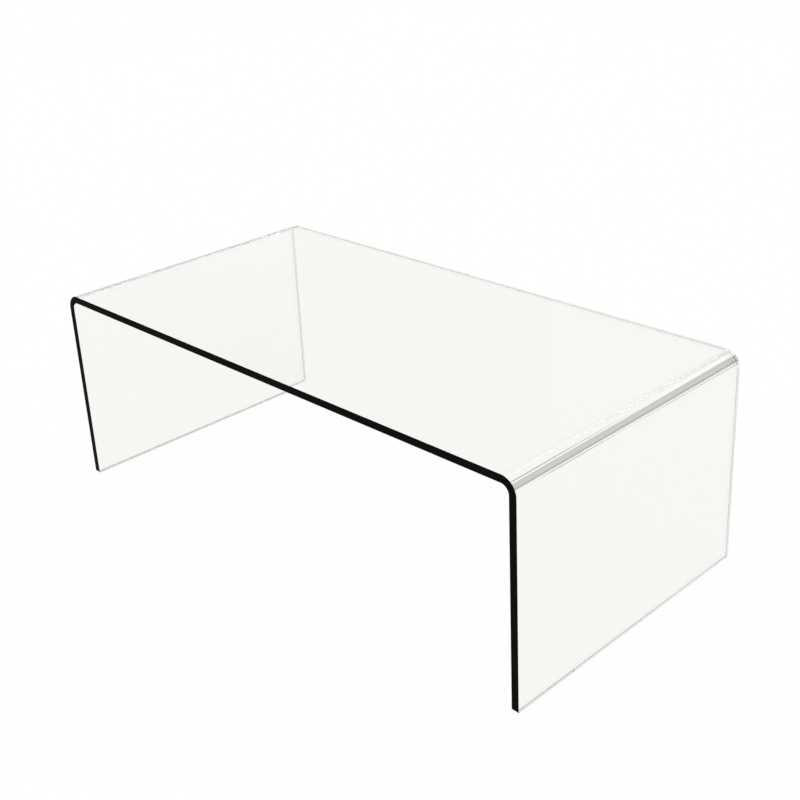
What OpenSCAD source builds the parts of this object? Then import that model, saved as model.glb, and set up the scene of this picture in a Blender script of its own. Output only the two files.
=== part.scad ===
// Low coffee table bent from one sheet of clear toughened glass.
// The sheet makes the top and both legs, and stands on four clear pads.
// Millimetres, +Z up, floor at Z = 0. X runs along the table and the front edge faces -Y.

/* [Glass sheet] */
// Length over the outer faces of the two legs
table_length = 1000; // [800:10:1200]
// Width of the sheet from its front edge to its back edge
table_width = 495; // [400:5:600]
// Height of the top face above the floor
table_height = 345; // [250:5:450]
// Thickness of the glass
glass_thickness = 12; // [10:1:15]
// Radius of the outer face at each bend
bend_radius = 25; // [22:1:60]

/* [Polished edges] */
// Radius of the rounded corners at the foot of each leg
corner_radius = 4; // [2:0.5:15]
// Width of the small bevel ground along every edge of the sheet
arris = 0.8; // [0.5:0.1:1.8]

/* [Pads] */
// Thickness of a pad, which lifts the glass off the floor
pad_thickness = 2; // [1.5:0.5:4]
// Bare glass left between a pad and the bevel on either side of it
pad_margin = 0.8; // [0.2:0.1:1.2]
// Distance from the end of a leg's bottom edge to the middle of a pad
pad_inset = 40; // [20:5:80]
// Radius of the rounded rim where a pad meets the floor
pad_rim = 0.6; // [0.2:0.1:1]

/* [Hidden] */
// Half sizes, measured from the middle of the table
half_length = table_length / 2;
half_width = table_width / 2;
// Radius of the inner face at each bend
inner_radius = bend_radius - glass_thickness;
// Length of the flat of the top, between the two bends
top_flat = table_length - 2 * bend_radius;
// Height at which the flat of a leg ends and its bend begins
leg_top = table_height - bend_radius;
// Diameter of a pad, as wide as the flat of the glass edge allows
pad_diameter = glass_thickness - 2 * (arris + pad_margin);
// Place of a pad's middle, under the middle of the glass edge
pad_x = half_length - glass_thickness / 2;
pad_y = half_width - pad_inset;
// Finish of the curved faces
$fn = 96;

// Section through the sheet, thickness along X and width along Y, bevelled at its four corners
module sheet_section() {
    polygon([
        [arris, -half_width],
        [glass_thickness - arris, -half_width],
        [glass_thickness, arris - half_width],
        [glass_thickness, half_width - arris],
        [glass_thickness - arris, half_width],
        [arris, half_width],
        [0, half_width - arris],
        [0, arris - half_width]
    ]);
}

// Section through the bottom edge of a leg, as high as its rounded corners
module bottom_section() {
    polygon([
        [arris, 0],
        [glass_thickness - arris, 0],
        [glass_thickness, arris],
        [glass_thickness, corner_radius],
        [0, corner_radius],
        [0, arris]
    ]);
}

// Section through a rounded corner, from its centre out to its bevelled edge
module corner_section() {
    polygon([
        [0, 0],
        [corner_radius - arris, 0],
        [corner_radius, arris],
        [corner_radius, glass_thickness - arris],
        [corner_radius - arris, glass_thickness],
        [0, glass_thickness]
    ]);
}

// Flat of the top, with its thickness along Z
module top_sheet() {
    translate([-top_flat / 2, 0, table_height])
        rotate([0, 90, 0])
            linear_extrude(top_flat)
                sheet_section();
}

// Bend at the right end, a quarter turn from the top into the leg
module right_bend() {
    translate([half_length - bend_radius, 0, leg_top])
        rotate([90, 0, 0])
            rotate_extrude(angle = 90)
                translate([inner_radius, 0])
                    sheet_section();
}

// Rounded corner at the back of the right leg's bottom edge
module back_corner() {
    translate([0, half_width - corner_radius, corner_radius])
        rotate([0, 90, 0])
            rotate_extrude(angle = 90)
                corner_section();
}

// Right leg, with its inner face at X = 0 and its bottom edge at Z = 0
module leg_sheet(height) {
    translate([0, 0, corner_radius])
        linear_extrude(height - corner_radius)
            sheet_section();
    translate([0, half_width - corner_radius, 0])
        rotate([90, 0, 0])
            linear_extrude(table_width - 2 * corner_radius)
                bottom_section();
    back_corner();
    mirror([0, 1, 0])
        back_corner();
}

// Bend and leg at the right end, in their place on the table
module right_end() {
    right_bend();
    translate([half_length - glass_thickness, 0, pad_thickness])
        leg_sheet(leg_top - pad_thickness);
}

// The one piece of glass: the top, the two bends and the two legs
module bent_glass_sheet() {
    color([0.90, 0.95, 0.91, 0.5])
        union() {
            top_sheet();
            right_end();
            mirror([1, 0, 0])
                right_end();
        }
}

// Half outline of a pad, with its rounded rim at the floor
module pad_outline() {
    pad_radius = pad_diameter / 2;
    square([pad_radius - pad_rim, pad_thickness]);
    translate([0, pad_rim])
        square([pad_radius, pad_thickness - pad_rim]);
    translate([pad_radius - pad_rim, pad_rim])
        circle(pad_rim);
}

// Clear pad stuck under a leg. Side is -1 for left or 1 for right, face is -1 for front or 1 for back
module pad(side, face) {
    color([0.86, 0.88, 0.87, 0.7])
        translate([side * pad_x, face * pad_y, 0])
            rotate_extrude()
                pad_outline();
}

bent_glass_sheet();
pad(-1, -1);  // pad_front_left
pad(1, -1);  // pad_front_right
pad(-1, 1);  // pad_back_left
pad(1, 1);  // pad_back_right
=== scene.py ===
# %% [markdown]
# # A coffee table bent from one sheet of clear glass
#
# The table is a single sheet of toughened float glass. A flat blank is cut, its corners are
# rounded, its edges are ground and polished, and then it is heated over a mould until both ends
# hang down as legs. Four clear pads under the legs keep the glass edge off the floor.
#
# The measured model is loaded first. It gives the sizes and the places, and nothing here moves
# or resizes it. The lesson then makes the glass and the pads again as fine meshes, with the
# finishes that the eye sees.

# %% Load the measured frame
import math

import bmesh
import bpy
from mathutils import Euler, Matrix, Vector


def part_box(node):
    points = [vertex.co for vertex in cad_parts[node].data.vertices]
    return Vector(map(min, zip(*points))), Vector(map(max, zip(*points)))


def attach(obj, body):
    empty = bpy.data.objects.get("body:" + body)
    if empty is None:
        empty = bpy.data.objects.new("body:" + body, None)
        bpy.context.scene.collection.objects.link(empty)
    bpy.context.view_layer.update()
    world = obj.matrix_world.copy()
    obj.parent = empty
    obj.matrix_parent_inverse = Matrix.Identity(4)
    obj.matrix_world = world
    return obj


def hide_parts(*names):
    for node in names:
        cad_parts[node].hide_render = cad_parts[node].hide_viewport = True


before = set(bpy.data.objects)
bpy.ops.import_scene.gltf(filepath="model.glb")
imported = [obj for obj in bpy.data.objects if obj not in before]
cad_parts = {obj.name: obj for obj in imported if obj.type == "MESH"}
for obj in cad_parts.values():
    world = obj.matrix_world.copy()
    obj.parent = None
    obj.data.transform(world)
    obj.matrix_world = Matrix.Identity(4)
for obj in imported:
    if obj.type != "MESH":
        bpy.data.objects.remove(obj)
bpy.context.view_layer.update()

glass_low, glass_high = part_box("bent_glass_sheet")
glass_size = glass_high - glass_low
print("nodes:", ", ".join(sorted(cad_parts)))
print("glass is", [round(side * 1000, 1) for side in glass_size], "mm")

# %% [markdown]
# ## The camera
#
# The camera stands in front of the table and to its right, a little above it. It is set up by
# where it stands and how it is turned, as a photographer would note it down. The focal length
# is for a sensor 36 mm wide, which is Blender's own default.

# %% Place the camera
CAMERA_PLACE = (1.3647, -1.2514, 1.0857)
CAMERA_ELEVATION = 23.187
CAMERA_AZIMUTH = 46.339
CAMERA_ROLL = -2.821
CAMERA_LENS = 57.199
CAMERA_SHIFT = -0.0627

camera_data = bpy.data.cameras.new("camera")
camera_data.lens = CAMERA_LENS
camera_data.shift_y = CAMERA_SHIFT
camera = bpy.data.objects.new("camera", camera_data)
pitch = math.radians(90 - CAMERA_ELEVATION)
turn = Euler((pitch, 0, math.radians(CAMERA_AZIMUTH)), "XYZ").to_matrix()
roll = Euler((0, 0, math.radians(CAMERA_ROLL)), "XYZ").to_matrix()
camera.matrix_world = (turn @ roll).to_4x4()
camera.location = CAMERA_PLACE
bpy.context.scene.collection.objects.link(camera)
bpy.context.scene.camera = camera
print("camera at", CAMERA_PLACE, "with a", CAMERA_LENS, "mm lens")

# %% [markdown]
# ## One helper for every node tree
#
# Materials, the world and Geometry Nodes are all trees of nodes. This function adds one node of
# any kind, sets its properties, and fills its inputs with values or with links from other
# sockets. An input is given by its name, or by its number where several share a name.

# %% Add a node
def add(tree, kind, inputs=None, **settings):
    """Add a node to a tree. Settings are its properties, and each input is a value or a socket."""
    node = tree.nodes.new(kind)
    for name, value in settings.items():
        setattr(node, name, value)
    for key, value in (inputs or {}).items():
        if isinstance(value, bpy.types.NodeSocket):
            tree.links.new(value, node.inputs[key])
        else:
            node.inputs[key].default_value = value
    return node


# %% [markdown]
# ## The rule that shapes the glass
#
# Two things about this sheet follow one rule: go straight, turn a quarter circle, go straight
# again. The outline of the blank does it at each rounded corner, seen from above. The whole
# sheet does it at each bend, seen from the front. So the rule is a node group, used twice, and
# the rim of a pad will use it once more.
#
# The group takes a distance walked and gives how far along and how far across the walker has
# come. The angle grows only while the walker is on the turn, so one formula holds for all three
# stretches. It could be a curve with two lines and an arc, but then every ring of points would
# have to be matched to a place on the curve.

# %% Straight, turn, straight
def make_turn_group():
    """Make the rule as a node group: straight on, a quarter turn, and straight on again."""
    group = bpy.data.node_groups.new("straight_turn_straight", "GeometryNodeTree")
    for name in ("Distance", "Straight", "Turn Length", "Radius"):
        group.interface.new_socket(name, in_out="INPUT", socket_type="NodeSocketFloat")
    for name in ("Along", "Across"):
        group.interface.new_socket(name, in_out="OUTPUT", socket_type="NodeSocketFloat")
    given = add(group, "NodeGroupInput").outputs
    distance = given["Distance"]
    straight = given["Straight"]
    turn_length = given["Turn Length"]
    before = add(group, "ShaderNodeMath", {0: distance, 1: straight}, operation="MINIMUM")
    past = add(group, "ShaderNodeMath", {0: distance, 1: straight}, operation="SUBTRACT")
    share = add(group, "ShaderNodeMath", {0: past.outputs[0], 1: turn_length},
                operation="DIVIDE", use_clamp=True)
    angle = add(group, "ShaderNodeMath", {0: share.outputs[0], 1: math.pi / 2}, operation="MULTIPLY")
    beyond = add(group, "ShaderNodeMath", {0: past.outputs[0], 1: turn_length}, operation="SUBTRACT")
    after = add(group, "ShaderNodeMath", {0: beyond.outputs[0], 1: 0.0}, operation="MAXIMUM")
    sine = add(group, "ShaderNodeMath", {0: angle.outputs[0]}, operation="SINE")
    cosine = add(group, "ShaderNodeMath", {0: angle.outputs[0]}, operation="COSINE")
    along = add(group, "ShaderNodeMath", {0: given["Radius"], 1: sine.outputs[0], 2: before.outputs[0]},
                operation="MULTIPLY_ADD")
    reach = add(group, "ShaderNodeMath", {0: given["Radius"], 1: cosine.outputs[0]}, operation="MULTIPLY")
    across = add(group, "ShaderNodeMath", {0: reach.outputs[0], 1: after.outputs[0]}, operation="SUBTRACT")
    add(group, "NodeGroupOutput", {"Along": along.outputs[0], "Across": across.outputs[0]})
    return group


turn_group = make_turn_group()
print("node group", turn_group.name, "has", len(turn_group.nodes), "nodes")

# %% [markdown]
# The sheet and the pads share three more steps. Each starts as a flat grid whose points are
# numbered by ring and row. Each has a walker who covers one stretch after another, in a given
# number of steps. And each ends by being shaded: smooth all over, but for the corners sharper than
# 30 degrees, so that the turns look round and the bevels stay crisp. These steps could be written
# out for each piece, but as functions they are written and mended once.

# %% Number a grid, walk it and shade it
CRISP_ANGLE = math.radians(30)


def number_grid(tree, rings, rows):
    """Add a grid to a tree and return it with the ring and the row that each of its points is in."""
    grid = add(tree, "GeometryNodeMeshGrid", {"Vertices X": rings, "Vertices Y": rows}).outputs["Mesh"]
    index = add(tree, "GeometryNodeInputIndex").outputs[0]
    share = add(tree, "ShaderNodeMath", {0: index, 1: float(rows)}, operation="DIVIDE").outputs[0]
    ring = add(tree, "ShaderNodeMath", {0: share}, operation="FLOOR").outputs[0]
    row = add(tree, "ShaderNodeMath", {0: index, 1: float(rows)}, operation="FLOORED_MODULO").outputs[0]
    return grid, ring, row


def walk(tree, number, stretches):
    """Return how far the walker has come at a ring or row, given each stretch's length and steps."""
    walked = None
    first = 0
    for length, count in stretches:
        last = first + count
        stretch = add(tree, "ShaderNodeMapRange",
                      {"Value": number, "From Min": first, "From Max": last, "To Max": length}).outputs[0]
        if walked is None:
            walked = stretch
        else:
            walked = add(tree, "ShaderNodeMath", {0: walked, 1: stretch}, operation="ADD").outputs[0]
        first = last
    return walked


def shade(tree, mesh):
    """Shade a mesh smooth with crisp corners, make its instances real and return it."""
    smooth = add(tree, "GeometryNodeSetShadeSmooth", {"Geometry": mesh, "Shade Smooth": True},
                 domain="FACE").outputs[0]
    angle = add(tree, "GeometryNodeInputMeshEdgeAngle").outputs["Unsigned Angle"]
    crisp = add(tree, "FunctionNodeCompare", {"A": angle, "B": CRISP_ANGLE}, data_type="FLOAT",
                operation="GREATER_THAN").outputs[0]
    shaded = add(tree, "GeometryNodeSetShadeSmooth",
                 {"Geometry": smooth, "Selection": crisp, "Shade Smooth": False}, domain="EDGE").outputs[0]
    return add(tree, "GeometryNodeRealizeInstances", {"Geometry": shaded}).outputs[0]


print("corners over", round(math.degrees(CRISP_ANGLE)), "degrees stay crisp")

# %% [markdown]
# ## Sizes of the sheet
#
# The outer sizes come from the frame. The glass thickness, the bend, the foot corners and the
# arris, which is the small bevel ground along every edge, are named here in metres. Bending
# neither stretches nor shortens the middle of the glass, so that is where the flat blank's own
# length is measured.

# %% Name the sizes
THICKNESS = 0.012
BEND_RADIUS = 0.025
CORNER_RADIUS = 0.004
ARRIS = 0.0008

bend_path = (BEND_RADIUS - THICKNESS / 2) * math.pi / 2
blank_length = glass_size.x + 2 * glass_size.z - 4 * BEND_RADIUS + 2 * bend_path
print("the flat blank is", round(blank_length * 1000), "by", round(glass_size.y * 1000), "mm")

# %% [markdown]
# ## The sheet in Geometry Nodes
#
# The table is the same on the left and the right, and on the front and the back, so a quarter of
# it is made and mirrored twice. The quarter is a grid. Its rings cross the sheet, from the middle
# of the top to the middle of a foot. Its six rows go round the edge: the middle of the top face,
# the top face's rim, both sides of the flat edge, the bottom face's rim and the bottom face's
# middle. A box with a Bend modifier would be quicker to make, but its edge could not be told from
# its faces, and the edge is what the eye sees of this table.

# %% Start the sheet's tree and name its inputs
sheet_tree = bpy.data.node_groups.new("bent_sheet", "GeometryNodeTree")
for name in ("Length", "Width", "Height", "Lift", "Thickness", "Bend Radius", "Corner Radius", "Arris"):
    sheet_tree.interface.new_socket(name, in_out="INPUT", socket_type="NodeSocketFloat")
for name in ("Flat Glass", "Bent Glass", "Bevel", "Edge", "Bent Bevel", "Bent Edge"):
    sheet_tree.interface.new_socket(name, in_out="INPUT", socket_type="NodeSocketMaterial")
sheet_tree.interface.new_socket("Geometry", in_out="OUTPUT", socket_type="NodeSocketGeometry")
given = add(sheet_tree, "NodeGroupInput").outputs
thickness = given["Thickness"]
bend_radius = given["Bend Radius"]
corner_radius = given["Corner Radius"]
print("inputs:", ", ".join(socket.name for socket in given if socket.name))

# %% [markdown]
# A walker starts at the middle of the table and follows the glass out over the top, down round
# the bend, down the leg, and round the foot's corner to the middle of the foot. These are the
# lengths of the stretches on the way. The bend is measured in the middle of the glass.

# %% Work out the stretches
half_length = add(sheet_tree, "ShaderNodeMath", {0: given["Length"], 1: 2.0}, operation="DIVIDE").outputs[0]
half_width = add(sheet_tree, "ShaderNodeMath", {0: given["Width"], 1: 2.0}, operation="DIVIDE").outputs[0]
top_flat = add(sheet_tree, "ShaderNodeMath", {0: half_length, 1: bend_radius},
               operation="SUBTRACT").outputs[0]
middle_radius = add(sheet_tree, "ShaderNodeMath", {0: thickness, 1: -0.5, 2: bend_radius},
                    operation="MULTIPLY_ADD").outputs[0]
bend_length = add(sheet_tree, "ShaderNodeMath", {0: middle_radius, 1: math.pi / 2},
                  operation="MULTIPLY").outputs[0]
leg_flat = add(sheet_tree, "ShaderNodeMath", {0: given["Height"], 1: bend_radius},
               operation="SUBTRACT").outputs[0]
corner_length = add(sheet_tree, "ShaderNodeMath", {0: corner_radius, 1: math.pi / 2},
                    operation="MULTIPLY").outputs[0]
foot_flat = add(sheet_tree, "ShaderNodeMath", {0: half_width, 1: corner_radius},
                operation="SUBTRACT").outputs[0]
print("the walk takes", len(sheet_tree.nodes) - 1, "sums so far")

# %% [markdown]
# Smooth shading blends the light across neighbouring faces, so a wide flat face next to a bend
# would look bent too. A narrow flat face on each side of the bend, 2 mm wide, stops that.

# %% Say how finely each stretch is divided
SUPPORT = 0.002
TOP_STEPS = 4
BEND_STEPS = 48
LEG_STEPS = 3
CORNER_STEPS = 10

top_wide = add(sheet_tree, "ShaderNodeMath", {0: top_flat, 1: SUPPORT}, operation="SUBTRACT").outputs[0]
leg_plain = add(sheet_tree, "ShaderNodeMath", {0: leg_flat, 1: SUPPORT}, operation="SUBTRACT").outputs[0]
leg_wide = add(sheet_tree, "ShaderNodeMath", {0: leg_plain, 1: corner_radius},
               operation="SUBTRACT").outputs[0]
stretches = [
    (top_wide, TOP_STEPS),
    (SUPPORT, 1),
    (bend_length, BEND_STEPS),
    (SUPPORT, 1),
    (leg_wide, LEG_STEPS),
    (corner_length, CORNER_STEPS),
    (foot_flat, 1),
]
RINGS = sum(count for length, count in stretches) + 1
ROWS = 6
print(RINGS, "rings of", ROWS, "points make a quarter of the sheet")

# %% Number the rings and rows, and add up the distance walked at each ring
grid, ring, row = number_grid(sheet_tree, RINGS, ROWS)
walked = walk(sheet_tree, ring, stretches)
print("the walk has", len(stretches), "stretches")

# %% [markdown]
# Each row has three values: how deep it lies in the glass, how far it is set in from the cut
# edge, and whether it keeps its place at the side or goes to the middle of the sheet. An Index
# Switch picks the value by the row's number.

# %% Pick depth, inset and side by row
low_depth = add(sheet_tree, "ShaderNodeMath", {0: thickness, 1: given["Arris"]},
                operation="SUBTRACT").outputs[0]
by_row = []
for values in (
    (0.0, 0.0, given["Arris"], low_depth, thickness, thickness),
    (given["Arris"], given["Arris"], 0.0, 0.0, given["Arris"], given["Arris"]),
    (0.0, 1.0, 1.0, 1.0, 1.0, 0.0),
):
    switch = add(sheet_tree, "GeometryNodeIndexSwitch", data_type="FLOAT")
    while len(switch.index_switch_items) < ROWS:
        switch.index_switch_items.new()
    sheet_tree.links.new(row, switch.inputs["Index"])
    for number, value in enumerate(values):
        if isinstance(value, float):
            switch.inputs[number + 1].default_value = value
        else:
            sheet_tree.links.new(value, switch.inputs[number + 1])
    by_row.append(switch.outputs[0])
depth, inset, keep = by_row
print("three values are picked for each of", ROWS, "rows")

# %% [markdown]
# The rule is used first on the outline of the flat blank, where the turn is a foot's corner. Its
# radius is less for a row that is set in, so the arris runs round the corner evenly.

# %% Walk round the blank's outline
to_bend = add(sheet_tree, "ShaderNodeMath", {0: top_flat, 1: bend_length}, operation="ADD").outputs[0]
to_foot = add(sheet_tree, "ShaderNodeMath", {0: to_bend, 1: leg_flat}, operation="ADD").outputs[0]
to_corner = add(sheet_tree, "ShaderNodeMath", {0: to_foot, 1: corner_radius},
                operation="SUBTRACT").outputs[0]
corner_reach = add(sheet_tree, "ShaderNodeMath", {0: corner_radius, 1: inset},
                   operation="SUBTRACT").outputs[0]
corner = add(sheet_tree, "GeometryNodeGroup",
             {"Distance": walked, "Straight": to_corner, "Turn Length": corner_length,
              "Radius": corner_reach}, node_tree=turn_group)
side = add(sheet_tree, "ShaderNodeMath", {0: foot_flat, 1: corner.outputs["Across"]},
           operation="ADD").outputs[0]
side = add(sheet_tree, "ShaderNodeMath", {0: side, 1: keep}, operation="MULTIPLY").outputs[0]

# %% [markdown]
# Then the rule bends the blank. The radius is less for a row that lies deeper in the glass, so
# the bottom face turns tighter than the top face and the glass keeps its thickness.

# %% Bend the blank down at its end
reach = add(sheet_tree, "ShaderNodeMath", {0: bend_radius, 1: depth}, operation="SUBTRACT").outputs[0]
bend = add(sheet_tree, "GeometryNodeGroup",
           {"Distance": corner.outputs["Along"], "Straight": top_flat, "Turn Length": bend_length,
            "Radius": reach}, node_tree=turn_group)
bend_centre = add(sheet_tree, "ShaderNodeMath", {0: leg_flat, 1: given["Lift"]}, operation="ADD").outputs[0]
height = add(sheet_tree, "ShaderNodeMath", {0: bend_centre, 1: bend.outputs["Across"]},
             operation="ADD").outputs[0]
place = add(sheet_tree, "ShaderNodeCombineXYZ",
            {"X": bend.outputs["Along"], "Y": side, "Z": height}).outputs[0]
quarter = add(sheet_tree, "GeometryNodeSetPosition", {"Geometry": grid, "Position": place}).outputs[0]

# %% [markdown]
# Every face is marked with the strip that it lies in, before the quarter is mirrored and the
# numbers change: 0 and 4 are the two faces of the glass, 1 and 3 the bevels, and 2 the edge.
# A mirrored copy is inside out, so its faces are flipped before it is joined. Points that lie
# within a thousandth of a millimetre of each other along the join become one.

# %% Mark the strips and mirror the quarter twice
face_number = add(sheet_tree, "GeometryNodeInputIndex").outputs[0]
strip = add(sheet_tree, "ShaderNodeMath", {0: face_number, 1: float(ROWS - 1)},
            operation="FLOORED_MODULO").outputs[0]
whole = add(sheet_tree, "GeometryNodeStoreNamedAttribute",
            {"Geometry": quarter, "Name": "strip", "Value": strip},
            data_type="INT", domain="FACE").outputs[0]
WELD = 0.000001
for scale in ((1.0, -1.0, 1.0), (-1.0, 1.0, 1.0)):
    turned = add(sheet_tree, "GeometryNodeTransform", {"Geometry": whole, "Scale": scale}).outputs[0]
    flipped = add(sheet_tree, "GeometryNodeFlipFaces", {"Mesh": turned}).outputs[0]
    both = add(sheet_tree, "GeometryNodeJoinGeometry", {0: whole})
    sheet_tree.links.new(flipped, both.inputs[0])
    whole = add(sheet_tree, "GeometryNodeMergeByDistance",
                {"Geometry": both.outputs[0], "Distance": WELD}).outputs[0]

# %% Shade the sheet
real = shade(sheet_tree, whole)
print("the sheet's tree has", len(sheet_tree.nodes), "nodes so far")

# %% [markdown]
# The bent glass and its edge get finishes of their own, so their faces have to be found. They are
# the ones past the end of the top's flat and above the end of the leg's flat. The strip's number
# tells the edge and the bevels from the two faces of the glass.

# %% Find the faces of each finish
position = add(sheet_tree, "GeometryNodeInputPosition").outputs[0]
parts = add(sheet_tree, "ShaderNodeSeparateXYZ", {0: position}).outputs
from_middle = add(sheet_tree, "ShaderNodeMath", {0: parts["X"]}, operation="ABSOLUTE").outputs[0]
past_top = add(sheet_tree, "FunctionNodeCompare", {"A": from_middle, "B": top_flat}, data_type="FLOAT",
               operation="GREATER_THAN").outputs[0]
above_leg = add(sheet_tree, "FunctionNodeCompare", {"A": parts["Z"], "B": bend_centre}, data_type="FLOAT",
                operation="GREATER_THAN").outputs[0]
in_bend = add(sheet_tree, "FunctionNodeBooleanMath", {0: past_top, 1: above_leg}, operation="AND").outputs[0]
strip_read = add(sheet_tree, "GeometryNodeInputNamedAttribute", {"Name": "strip"}, data_type="INT")
in_strip = {}
for number in (1, 2, 3):
    in_strip[number] = add(sheet_tree, "FunctionNodeCompare",
                           {2: strip_read.outputs["Attribute"], 3: number},
                           data_type="INT", operation="EQUAL").outputs[0]
in_bevel = add(sheet_tree, "FunctionNodeBooleanMath", {0: in_strip[1], 1: in_strip[3]},
               operation="OR").outputs[0]
in_bent = {}
for name, selection in (("Bevel", in_bevel), ("Edge", in_strip[2])):
    in_bent[name] = add(sheet_tree, "FunctionNodeBooleanMath", {0: in_bend, 1: selection},
                        operation="AND").outputs[0]

# %% Set the materials and end the tree
made = add(sheet_tree, "GeometryNodeSetMaterial",
           {"Geometry": real, "Material": given["Flat Glass"]}).outputs[0]
for selection, finish in (
    (in_bend, "Bent Glass"),
    (in_bevel, "Bevel"),
    (in_strip[2], "Edge"),
    (in_bent["Bevel"], "Bent Bevel"),
    (in_bent["Edge"], "Bent Edge"),
):
    made = add(sheet_tree, "GeometryNodeSetMaterial",
               {"Geometry": made, "Selection": selection, "Material": given[finish]}).outputs[0]
add(sheet_tree, "NodeGroupOutput", {"Geometry": made})
print("the sheet's tree has", len(sheet_tree.nodes), "nodes")

# %% [markdown]
# ## Colours
#
# Colours are noted as sRGB hex codes, as they would be read off a screen. Blender works in linear
# light, so one function turns a code into linear numbers.

# %% Turn a hex colour linear
def linear(code):
    """Turn an sRGB hex colour such as "F4F6F1" into the linear colour that Blender works in."""
    parts = [int(code[i:i + 2], 16) / 255 for i in (0, 2, 4)]
    return [p / 12.92 if p <= 0.04045 else ((p + 0.055) / 1.055) ** 2.4 for p in parts] + [1.0]


def new_material(name):
    """Make an empty node material and return it with its tree."""
    material = bpy.data.materials.new(name)
    material.use_nodes = True
    material.node_tree.nodes.clear()
    return material, material.node_tree


print("clear glass is linear", [round(part, 3) for part in linear("F4F6F1")[:3]])

# %% [markdown]
# ## Clear float glass
#
# Float glass cools on a bath of molten tin, so both faces are flat and fire polished, and nothing
# on them scatters light. It is drawn as full transmission with no roughness and the index of
# refraction of window glass, 1.52. Iron in the glass makes it faintly green. Light crosses two
# faces on its way through, and each takes the root of the base colour, so the base colour is what
# one sheet lets through. The long way through, from edge to edge, is darker: that is the volume
# absorption, worked out for each metre of the way.
#
# Toughening adds one thing. The hot sheet rides on rollers while it softens, and keeps a slight
# wave across its length, some 250 mm from crest to crest and under a tenth of a millimetre high.
# It is too faint to see straight through and shows only in what the glass mirrors. A faint, large
# mottling in the tint stands for the film that a wiped sheet always has.

# %% Name the glass, the wave and the film
GLASS_IOR = 1.52
GLASS_DEPTH_COLOUR = linear("C6E0CE")
GLASS_DEPTH_DENSITY = 0.15
WAVE_PITCH = 0.25
WAVE_HEIGHT = 0.00004
FILM_PATCH = 0.12
FILM_TINTS = ("F5F7F2", "F7F8F4")
print("roller wave:", WAVE_PITCH * 1000, "mm pitch,", WAVE_HEIGHT * 1e6, "micrometres high")

# %% [markdown]
# All of the glass has the same depth, so one function gives it to each finish. A Wave texture
# repeats every 0.314 of its own units at a scale of 1, so a scale of 0.314 divided by the pitch
# gives waves of the right length in metres. Object coordinates keep both patterns still on the
# sheet.

# %% The flat glass
WAVE_REPEAT = 0.314


def give_depth(tree, glass):
    """End a glass finish's tree with its surface and the absorption of all the glass."""
    depth = add(tree, "ShaderNodeVolumeAbsorption",
                {"Color": GLASS_DEPTH_COLOUR, "Density": GLASS_DEPTH_DENSITY})
    add(tree, "ShaderNodeOutputMaterial", {"Surface": glass.outputs[0], "Volume": depth.outputs[0]})


def clear_float_glass():
    """Make the flat glass, with its roller wave and its film."""
    material, tree = new_material("clear_float_glass")
    where = add(tree, "ShaderNodeTexCoord").outputs["Object"]
    film = add(tree, "ShaderNodeTexNoise", {"Vector": where, "Scale": 1 / FILM_PATCH, "Detail": 2.0})
    tint = add(tree, "ShaderNodeMix",
               {"Factor": film.outputs["Fac"], 6: linear(FILM_TINTS[0]), 7: linear(FILM_TINTS[1])},
               data_type="RGBA").outputs[2]
    wave = add(tree, "ShaderNodeTexWave", {"Vector": where, "Scale": WAVE_REPEAT / WAVE_PITCH},
               bands_direction="X", wave_profile="SIN")
    bump = add(tree, "ShaderNodeBump", {"Height": wave.outputs["Fac"], "Distance": WAVE_HEIGHT})
    glass = add(tree, "ShaderNodeBsdfPrincipled",
                {"Base Color": tint, "Roughness": 0.0, "IOR": GLASS_IOR, "Transmission Weight": 1.0,
                 "Normal": bump.outputs["Normal"]})
    give_depth(tree, glass)
    return material


flat_glass = clear_float_glass()
print("made", flat_glass.name)

# %% [markdown]
# ## The bent glass
#
# The bend is the same glass, but it is the one place where this table catches the light. It sags
# over a steel former while it is soft, so it is never quite even round the curve, and it carries
# faint streaks that run from the front edge to the back. Its mirror image of the studio is a good
# deal stronger than plain glass gives: the eye sees the outer skin, the inner skin and the turns
# of light between them at once. A clear coat stands for the sum of them. No clear film has an
# index of 5, but a coat of that index mirrors some 44 parts in 100, which is what the bend shows.
#
# The streaks are a noise that is stretched 60 times along Y, so that each is a few millimetres
# wide and runs for most of the bend. They tilt only the coat, so that what is seen through the
# glass stays sharp.

# %% The bend
BEND_TINT = "F6F8F3"
BEND_COAT_IOR = 5.0
STREAK_WIDTH = 0.0035
STREAK_STRETCH = 60
STREAK_HEIGHT = 0.000006


def bent_float_glass():
    """Make the glass of the bends, with its mirroring coat and its streaks."""
    material, tree = new_material("bent_float_glass")
    where = add(tree, "ShaderNodeTexCoord").outputs["Object"]
    along = add(tree, "ShaderNodeMapping", {"Vector": where, "Scale": (1.0, 1 / STREAK_STRETCH, 1.0)})
    streaks = add(tree, "ShaderNodeTexNoise",
                  {"Vector": along.outputs[0], "Scale": 1 / STREAK_WIDTH, "Detail": 1.0})
    bump = add(tree, "ShaderNodeBump", {"Height": streaks.outputs["Fac"], "Distance": STREAK_HEIGHT})
    glass = add(tree, "ShaderNodeBsdfPrincipled",
                {"Base Color": linear(BEND_TINT), "Roughness": 0.0, "IOR": GLASS_IOR,
                 "Transmission Weight": 1.0, "Coat Weight": 1.0, "Coat IOR": BEND_COAT_IOR,
                 "Coat Roughness": 0.0, "Coat Normal": bump.outputs["Normal"]})
    give_depth(tree, glass)
    return material


bent_glass = bent_float_glass()
print("made", bent_glass.name)

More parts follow.
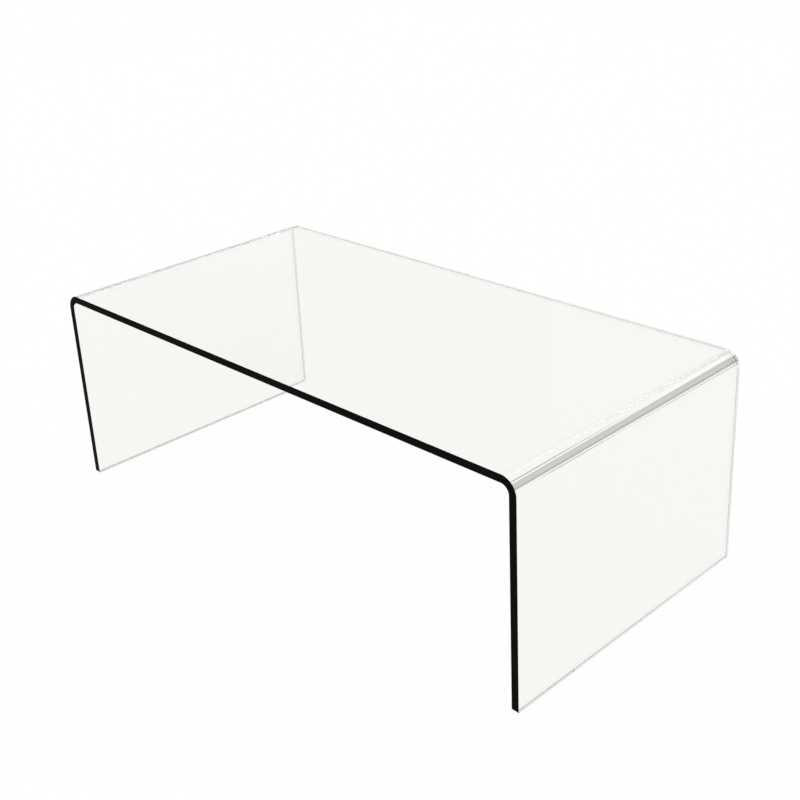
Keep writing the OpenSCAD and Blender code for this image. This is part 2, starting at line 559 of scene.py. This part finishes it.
# %% [markdown]
# ## The polished edge
#
# The cut edge is ground flat, given a small bevel on each side, and polished. From outside it
# is painted almost black: that black is painted shade, standing in for the dark look of an edge
# where the eye looks into the long way of the glass. From inside, the same surface is a mirror:
# light that comes along the sheet is turned back, and the far edges look nearly as pale as the
# rest of the sheet, with thin grey lines along them.
#
# So the surface has to act differently on its two sides. The Backfacing output says which side
# the light arrives on, and it turns the transmission on for the inside only. The wheel leaves a
# little haze, so the inside mirrors less than all of the light, and this share sets how grey a
# far edge looks. The grey colour of the share that is not mirrored is partly that haze and partly
# painted shade for the thin grey lines along the far edges. It is a share of the transmission,
# because a tint would not touch light that is turned back whole. The bends have shares of their
# own, because the eye meets their far edge more squarely: there the flat of the edge gets a larger
# share and the bevels a smaller one. The wheel also leaves fine marks, a third of a millimetre
# across, which show as slight changes of the painted black.

# %% The edge and its bevels
WHEEL_MARK = 0.00033
EDGE_GLOSS = 0.005
EDGE_PAINTED_SHADE = ("0B0B0C", "121213")
BEVEL_PAINTED_SHADE = ("070708", "0C0C0D")
INSIDE_HAZE_AND_PAINTED_GREY = "484848"
INSIDE_HAZE_AND_PAINTED_PALE = "B8B8B8"


def polished_glass_edge(name, painted_shade_blacks, inside_haze_and_shade, mirror_share):
    """Make an edge painted black outside, as painted shade, that mirrors a share of the light inside."""
    material, tree = new_material(name)
    where = add(tree, "ShaderNodeTexCoord").outputs["Object"]
    marks = add(tree, "ShaderNodeTexNoise", {"Vector": where, "Scale": 1 / WHEEL_MARK, "Detail": 0.0})
    # Outside: a near black that is painted shade for the dark look of the edge, varied by the wheel marks.
    outside = add(tree, "ShaderNodeMix",
                  {"Factor": marks.outputs["Fac"], 6: linear(painted_shade_blacks[0]), 7: linear(painted_shade_blacks[1])},
                  data_type="RGBA").outputs[2]
    inside = add(tree, "ShaderNodeNewGeometry").outputs["Backfacing"]
    # Inside: a grey that is partly the wheel's haze and partly painted shade for the far edges' lines.
    colour = add(tree, "ShaderNodeMix", {"Factor": inside, 6: outside, 7: linear(inside_haze_and_shade)},
                 data_type="RGBA").outputs[2]
    mirror = add(tree, "ShaderNodeMath", {0: inside, 1: mirror_share}, operation="MULTIPLY").outputs[0]
    glass = add(tree, "ShaderNodeBsdfPrincipled",
                {"Base Color": colour, "Roughness": 0.0, "IOR": GLASS_IOR, "Transmission Weight": mirror,
                 "Specular IOR Level": EDGE_GLOSS})
    give_depth(tree, glass)
    return material


# Each edge and bevel is painted near black outside as painted shade, and grey inside partly as painted
# shade.
edge_glass = polished_glass_edge("polished_edge", EDGE_PAINTED_SHADE, INSIDE_HAZE_AND_PAINTED_GREY, mirror_share=0.83)
bevel_glass = polished_glass_edge("ground_bevel", BEVEL_PAINTED_SHADE, INSIDE_HAZE_AND_PAINTED_PALE, mirror_share=0.90)
bent_edge_glass = polished_glass_edge("bent_edge", EDGE_PAINTED_SHADE, INSIDE_HAZE_AND_PAINTED_GREY, mirror_share=0.95)
bent_bevel_glass = polished_glass_edge("bent_bevel", BEVEL_PAINTED_SHADE, INSIDE_HAZE_AND_PAINTED_GREY, mirror_share=0.55)
print("made", ", ".join(made.name for made in (edge_glass, bevel_glass, bent_edge_glass, bent_bevel_glass)))

# %% [markdown]
# ## Make the sheet
#
# The modifier's inputs are set by their identifiers, before the object is first evaluated. The
# result is copied out as a plain mesh, and the holder with its modifier is thrown away.

# %% Turn a node tree into a plain mesh
def shape_with(tree, values, name):
    """Run a Geometry Nodes tree with these inputs and return the result as an object with a plain mesh."""
    holder = bpy.data.objects.new("holder", bpy.data.meshes.new("holder"))
    bpy.context.scene.collection.objects.link(holder)
    modifier = holder.modifiers.new("shape", "NODES")
    modifier.node_group = tree
    for item in tree.interface.items_tree:
        if item.item_type == "SOCKET" and item.in_out == "INPUT":
            modifier[item.identifier] = values[item.name]
    graph = bpy.context.evaluated_depsgraph_get()
    mesh = bpy.data.meshes.new_from_object(holder.evaluated_get(graph))
    bpy.data.objects.remove(holder)
    mesh.materials.pop(index=0)
    made = bpy.data.objects.new(name, mesh)
    bpy.context.scene.collection.objects.link(made)
    return made


def report_mesh(made):
    """Print how many faces a piece has, whether it is closed, and how much it holds."""
    check = bmesh.new()
    check.from_mesh(made.data)
    open_edges = sum(1 for edge in check.edges if len(edge.link_faces) != 2)
    volume = check.calc_volume(signed=True) * 1e6
    print(made.name, "has", len(check.faces), "faces,", open_edges, "open edges and",
          round(volume, 4), "cm3")
    check.free()


# %% Make the sheet of glass
sheet = shape_with(sheet_tree, {
    "Length": glass_size.x,
    "Width": glass_size.y,
    "Height": glass_size.z,
    "Lift": glass_low.z,
    "Thickness": THICKNESS,
    "Bend Radius": BEND_RADIUS,
    "Corner Radius": CORNER_RADIUS,
    "Arris": ARRIS,
    "Flat Glass": flat_glass,
    "Bent Glass": bent_glass,
    "Bevel": bevel_glass,
    "Edge": edge_glass,
    "Bent Bevel": bent_bevel_glass,
    "Bent Edge": bent_edge_glass,
}, "bent_sheet_of_glass")
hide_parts("bent_glass_sheet")
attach(sheet, "root")
report_mesh(sheet)
print("materials:", [material.name for material in sheet.data.materials])

# %% [markdown]
# ## The pads
#
# Each leg stands on two small clear pads, stuck to the flat of its bottom edge near the corners.
# A pad is a disc with a rounded rim at the floor. It could be a cylinder with a Bevel modifier,
# but its profile is the same straight, turn, straight as the glass: out along the bottom, round
# the rim, and up the side. So the same group makes it. A grid is wrapped into a tube, its rows
# follow the profile, and the last row closes the top.

# %% Start the pad's tree
pad_tree = bpy.data.node_groups.new("clear_pad", "GeometryNodeTree")
for name in ("Diameter", "Thickness", "Rim"):
    pad_tree.interface.new_socket(name, in_out="INPUT", socket_type="NodeSocketFloat")
pad_tree.interface.new_socket("Place", in_out="INPUT", socket_type="NodeSocketVector")
pad_tree.interface.new_socket("Finish", in_out="INPUT", socket_type="NodeSocketMaterial")
pad_tree.interface.new_socket("Geometry", in_out="OUTPUT", socket_type="NodeSocketGeometry")
pad = add(pad_tree, "NodeGroupInput").outputs
print("inputs:", ", ".join(socket.name for socket in pad if socket.name))

# %% Number the pad's rows and its places round the rim
ROUND_STEPS = 48
RIM_STEPS = 8
SIDE_TOP = 1 + RIM_STEPS + 1
LAST_ROW = SIDE_TOP + 1
PAD_ROWS = LAST_ROW + 1
pad_grid, column, pad_row = number_grid(pad_tree, ROUND_STEPS + 1, PAD_ROWS)
around = add(pad_tree, "ShaderNodeMath", {0: column, 1: math.tau / ROUND_STEPS},
             operation="MULTIPLY").outputs[0]
print("a pad has", ROUND_STEPS, "steps round it and", PAD_ROWS, "rows")

# %% [markdown]
# The walker sets out from the middle of the bottom, at row 0. Row 1 is where the rim begins, the
# rim takes the next eight rows, and the row after them is the top of the side.

# %% Walk the pad's profile
pad_radius = add(pad_tree, "ShaderNodeMath", {0: pad["Diameter"], 1: 2.0}, operation="DIVIDE").outputs[0]
pad_flat = add(pad_tree, "ShaderNodeMath", {0: pad_radius, 1: pad["Rim"]}, operation="SUBTRACT").outputs[0]
rim_length = add(pad_tree, "ShaderNodeMath", {0: pad["Rim"], 1: math.pi / 2},
                 operation="MULTIPLY").outputs[0]
pad_side = add(pad_tree, "ShaderNodeMath", {0: pad["Thickness"], 1: pad["Rim"]},
               operation="SUBTRACT").outputs[0]
pad_walk = walk(pad_tree, pad_row, [(pad_flat, 1), (rim_length, RIM_STEPS), (pad_side, 1)])
print("the pad's tree has", len(pad_tree.nodes), "nodes so far")

# %% [markdown]
# The profile is then turned round the pad's middle, each ring of the grid a step further. The last
# row doesn't keep its place out at the side: it goes to the middle and closes the top.

# %% Turn the profile round the pad's middle
rim = add(pad_tree, "GeometryNodeGroup",
          {"Distance": pad_walk, "Straight": pad_flat, "Turn Length": rim_length,
           "Radius": pad["Rim"]}, node_tree=turn_group)
is_wall = add(pad_tree, "ShaderNodeMath", {0: pad_row, 1: LAST_ROW - 0.5}, operation="LESS_THAN").outputs[0]
out = add(pad_tree, "ShaderNodeMath", {0: rim.outputs["Along"], 1: is_wall}, operation="MULTIPLY").outputs[0]
up = add(pad_tree, "ShaderNodeMath", {0: pad["Rim"], 1: rim.outputs["Across"]},
         operation="SUBTRACT").outputs[0]
cosine = add(pad_tree, "ShaderNodeMath", {0: around}, operation="COSINE").outputs[0]
sine = add(pad_tree, "ShaderNodeMath", {0: around}, operation="SINE").outputs[0]
pad_x = add(pad_tree, "ShaderNodeMath", {0: out, 1: cosine}, operation="MULTIPLY").outputs[0]
pad_y = add(pad_tree, "ShaderNodeMath", {0: out, 1: sine}, operation="MULTIPLY").outputs[0]
spot = add(pad_tree, "ShaderNodeCombineXYZ", {"X": pad_x, "Y": pad_y, "Z": up}).outputs[0]
spot = add(pad_tree, "ShaderNodeVectorMath", {0: spot, 1: pad["Place"]}, operation="ADD").outputs[0]
print("row", LAST_ROW, "closes the top")

# %% Close the pad and shade it
formed = add(pad_tree, "GeometryNodeSetPosition", {"Geometry": pad_grid, "Position": spot}).outputs[0]
closed = add(pad_tree, "GeometryNodeMergeByDistance", {"Geometry": formed, "Distance": WELD}).outputs[0]
pad_made = add(pad_tree, "GeometryNodeSetMaterial",
               {"Geometry": shade(pad_tree, closed), "Material": pad["Finish"]})
add(pad_tree, "NodeGroupOutput", {"Geometry": pad_made.outputs[0]})
print("the pad's tree has", len(pad_tree.nodes), "nodes")

# %% [markdown]
# ## Clear polyurethane
#
# The pads are cast from soft clear polyurethane. They come off the liner faintly hazy rather than
# glass clear, so there is a little roughness, and the cast skin has a fine dimple that a bump
# draws half a millimetre wide.

# %% The pads' material
RESIN_TINT = "E9EDEB"
RESIN_IOR = 1.5
RESIN_CLARITY = 0.9
HAZE_LEAST = 0.10
HAZE_MOST = 0.20
SKIN_DIMPLE = 0.0005
DIMPLE_HEIGHT = 0.00002


def clear_polyurethane():
    """Make the pads' resin, with its haze and its dimpled skin."""
    material, tree = new_material("clear_polyurethane")
    where = add(tree, "ShaderNodeTexCoord").outputs["Object"]
    skin = add(tree, "ShaderNodeTexNoise", {"Vector": where, "Scale": 1 / SKIN_DIMPLE, "Detail": 1.0})
    haze = add(tree, "ShaderNodeMapRange",
               {"Value": skin.outputs["Fac"], "To Min": HAZE_LEAST, "To Max": HAZE_MOST}).outputs[0]
    bump = add(tree, "ShaderNodeBump", {"Height": skin.outputs["Fac"], "Distance": DIMPLE_HEIGHT})
    resin = add(tree, "ShaderNodeBsdfPrincipled",
                {"Base Color": linear(RESIN_TINT), "Roughness": haze, "IOR": RESIN_IOR,
                 "Transmission Weight": RESIN_CLARITY, "Normal": bump.outputs["Normal"]})
    add(tree, "ShaderNodeOutputMaterial", {"Surface": resin.outputs[0]})
    return material


pad_resin = clear_polyurethane()
print("made", pad_resin.name)

# %% [markdown]
# A film of adhesive holds each pad to the glass, so a pad's top stops a twentieth of a millimetre
# short of the edge above it.

# %% Make the four pads
PAD_RIM = 0.0006
ADHESIVE = 0.00005
for node in ("pad_front_left", "pad_front_right", "pad_back_left", "pad_back_right"):
    low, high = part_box(node)
    middle = (low + high) / 2
    piece = shape_with(pad_tree, {
        "Diameter": high.x - low.x,
        "Thickness": high.z - low.z - ADHESIVE,
        "Rim": PAD_RIM,
        "Place": (middle.x, middle.y, low.z),
        "Finish": pad_resin,
    }, "clear_" + node)
    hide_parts(node)
    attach(piece, "root")
    report_mesh(piece)

# %% [markdown]
# ## The floor
#
# The table stands on a plain white sweep that is lit until it is all but shadowless. A real one
# would need many lamps round it. Here most of its brightness is a glow of its own, and the rest is
# paint that takes light and shade as usual, which leaves the faintest shadow at the feet.

# %% Lay the floor
FLOOR_REACH = 4.0
FLOOR_GLOW = 0.968
FLOOR_PAINT = 0.035

corners = [(-1, -1), (1, -1), (1, 1), (-1, 1)]
floor_mesh = bpy.data.meshes.new("floor")
floor_mesh.from_pydata([(x * FLOOR_REACH, y * FLOOR_REACH, 0) for x, y in corners], [], [(0, 1, 2, 3)])
floor = bpy.data.objects.new("floor", floor_mesh)
bpy.context.scene.collection.objects.link(floor)
sweep, sweep_tree = new_material("lit_white_sweep")
glow = add(sweep_tree, "ShaderNodeEmission", {"Color": linear("FFFFFF"), "Strength": FLOOR_GLOW})
paint = add(sweep_tree, "ShaderNodeBsdfDiffuse", {"Color": [FLOOR_PAINT] * 3 + [1.0]})
surface = add(sweep_tree, "ShaderNodeAddShader", {0: glow.outputs[0], 1: paint.outputs[0]})
add(sweep_tree, "ShaderNodeOutputMaterial", {"Surface": surface.outputs[0]})
floor_mesh.materials.append(sweep)
print("the floor is", 2 * FLOOR_REACH, "m wide")

# %% [markdown]
# ## The studio
#
# Glass has no look of its own: it shows what stands round it. The room is an even white, and a
# few cards stand in it, as a photographer of glass would set them up. A dark card is what draws
# the grey band along the bend, with a darker foot and a paler gap in it. A bright strip and a
# white cloth draw the white line above the band, and short grey strips draw the thin lines beside
# it. The ceiling, its lamp and a bluish card stand over the top of the bend, and the key softbox
# stands behind the table, where the flat of the top mirrors it faintly.
#
# A card could be a plane in the scene, but it would have to be large and far off to keep its place
# in every view. So each is a patch of the sky: a group takes the direction of a ray, turns it to
# face the card, and measures how far across and how far up it points, as on a flat board one metre
# away. Each of the four sides fades from clear to full. Light that has only passed through the
# glass, and the camera itself, see the plain white room, and the cards show in reflections alone.
# The walls are a little darker in reflections too, as walls that stand behind the lamps are.

# %% One card seen from the table
def make_card_group():
    """Make one card as a node group that says how far the card covers the sky along a ray."""
    group = bpy.data.node_groups.new("studio_card", "ShaderNodeTree")
    sides = (("Left Clear", "Left Full"), ("Right Clear", "Right Full"),
             ("Low Clear", "Low Full"), ("High Clear", "High Full"))
    group.interface.new_socket("Facing", in_out="INPUT", socket_type="NodeSocketFloat")
    for clear, full in sides:
        group.interface.new_socket(clear, in_out="INPUT", socket_type="NodeSocketFloat")
        group.interface.new_socket(full, in_out="INPUT", socket_type="NodeSocketFloat")
    group.interface.new_socket("Cover", in_out="OUTPUT", socket_type="NodeSocketFloat")
    given = add(group, "NodeGroupInput").outputs
    direction = add(group, "ShaderNodeTexCoord").outputs["Generated"]
    back = add(group, "ShaderNodeMath", {0: given["Facing"], 1: -1.0}, operation="MULTIPLY").outputs[0]
    turned = add(group, "ShaderNodeVectorRotate", {"Vector": direction, "Angle": back},
                 rotation_type="Z_AXIS").outputs[0]
    ahead = add(group, "ShaderNodeSeparateXYZ", {0: turned}).outputs
    across = add(group, "ShaderNodeMath", {0: ahead["Y"], 1: ahead["X"]}, operation="DIVIDE").outputs[0]
    up = add(group, "ShaderNodeMath", {0: ahead["Z"], 1: ahead["X"]}, operation="DIVIDE").outputs[0]
    cover = add(group, "ShaderNodeMath", {0: ahead["X"], 1: 0.0}, operation="GREATER_THAN").outputs[0]
    for (clear, full), way in zip(sides, (across, across, up, up)):
        fade = add(group, "ShaderNodeMapRange",
                   {"Value": way, "From Min": given[clear], "From Max": given[full]},
                   interpolation_type="SMOOTHSTEP").outputs[0]
        cover = add(group, "ShaderNodeMath", {0: cover, 1: fade}, operation="MULTIPLY").outputs[0]
    add(group, "NodeGroupOutput", {"Cover": cover})
    return group


card_group = make_card_group()
print("node group", card_group.name, "has", len(card_group.nodes), "nodes")

# %% [markdown]
# A card's colour is what it shows, and its brightness is set against the white of the room. Its
# facing is the compass direction of its middle, from +X towards +Y. Then come its left, right, low
# and high sides: for each, where the card is clear and where it is full. A later card hides an
# earlier one where they meet.

# %% Set up the cards
ROOM_LIGHT = 1.0
ROOM_WALLS = linear("F7F8F4")
CARDS = {
    "dark card": ("8E7E86", 1.0, 40, (-0.4, -0.1), (1.2, 0.75), (0.09, 0.165), (0.735, 0.665)),
    "dark edge": ("0C0C10", 1.0, 40, (-0.4, -0.1), (1.2, 0.75), (0.10, 0.16), (0.30, 0.25)),
    "pale gap": ("A0969C", 1.0, 40, (-0.4, -0.1), (1.2, 0.75), (0.31, 0.34), (0.43, 0.39)),
    "bright strip": ("FFFFFF", 1.05, 40, (-0.4, -0.1), (1.8, 1.3), (0.70, 0.75), (0.87, 0.82)),
    "white cloth": ("FFFFFF", 1.04, 40, (0.55, 0.75), (1.3, 1.1), (0.78, 0.82), (1.2, 1.0)),
    "dim strip": ("404040", 1.0, 40, (0.1, 0.2), (0.62, 0.38), (0.81, 0.86), (1.06, 0.96)),
    "lower strip": ("686868", 1.0, 40, (0.035, 0.055), (0.14, 0.08), (-0.3, -0.2), (0.03, -0.01)),
    "corner strip": ("B0B0B0", 1.0, 40, (0.1, 0.17), (0.6, 0.5), (-0.3, -0.2), (0.04, 0.0)),
    "blue card": ("C0CCD0", 1.0, 40, (1.12, 1.3), (1.75, 1.55), (1.1, 1.2), (1.48, 1.34)),
    "pale ceiling": ("FDFDF5", 1.0, 40, (1.9, 3.0), (60.0, 50.0), (1.4, 2.0), (60.0, 50.0)),
    "overhead lamp": ("FFFFFF", 1.20, 40, (1.32, 2.15), (3.6, 2.6), (1.15, 1.5), (3.6, 2.4)),
    "key softbox": ("F9F8FF", 1.242, 165, (-0.446, -0.436), (2.0, 1.5), (0.0, 0.15), (1.2, 0.8)),
}
world = bpy.data.worlds.new("studio")
world.use_nodes = True
sky = world.node_tree
sky.nodes.clear()
room = [ROOM_LIGHT] * 3 + [1.0]
seen = ROOM_WALLS
for name, (colour, brightness, facing, left, right, low, high) in CARDS.items():
    values = {"Facing": math.radians(facing)}
    for edge, (clear, full) in zip(("Left", "Right", "Low", "High"), (left, right, low, high)):
        values[edge + " Clear"] = clear
        values[edge + " Full"] = full
    card = add(sky, "ShaderNodeGroup", values, node_tree=card_group, label=name)
    glow = [brightness * part for part in linear(colour)[:3]] + [1.0]
    seen = add(sky, "ShaderNodeMix", {"Factor": card.outputs[0], 6: seen, 7: glow}, data_type="RGBA",
               clamp_result=False).outputs[2]
mirrored = add(sky, "ShaderNodeLightPath").outputs["Is Reflection Ray"]
shown = add(sky, "ShaderNodeMix", {"Factor": mirrored, 6: room, 7: seen}, data_type="RGBA").outputs[2]
light = add(sky, "ShaderNodeBackground", {"Color": shown, "Strength": 1.0})
add(sky, "ShaderNodeOutputWorld", {"Surface": light.outputs[0]})
bpy.context.scene.world = world
print("the studio has", len(CARDS), "cards")

# %% [markdown]
# ## Light that is caught in the glass
#
# Some light enters at a bend and is then caught between the two faces. It crosses the sheet every
# centimetre or so, hundreds of times, before it leaves at the other bend or at a foot. Blender
# stops a path after a dozen turns by default and paints what is left black, which draws hard dark
# lines along the bends. A higher limit lets the light out, and only these few paths are longer.
#
# The Standard view keeps the white of the sweep white, which the softer views would turn grey.

# %% Let long paths finish and choose the view
CAUGHT_TURNS = 600
paths = bpy.context.scene.cycles
paths.max_bounces = CAUGHT_TURNS
paths.glossy_bounces = CAUGHT_TURNS
paths.transmission_bounces = CAUGHT_TURNS
bpy.context.scene.view_settings.view_transform = "Standard"
print("a path may turn", CAUGHT_TURNS, "times")
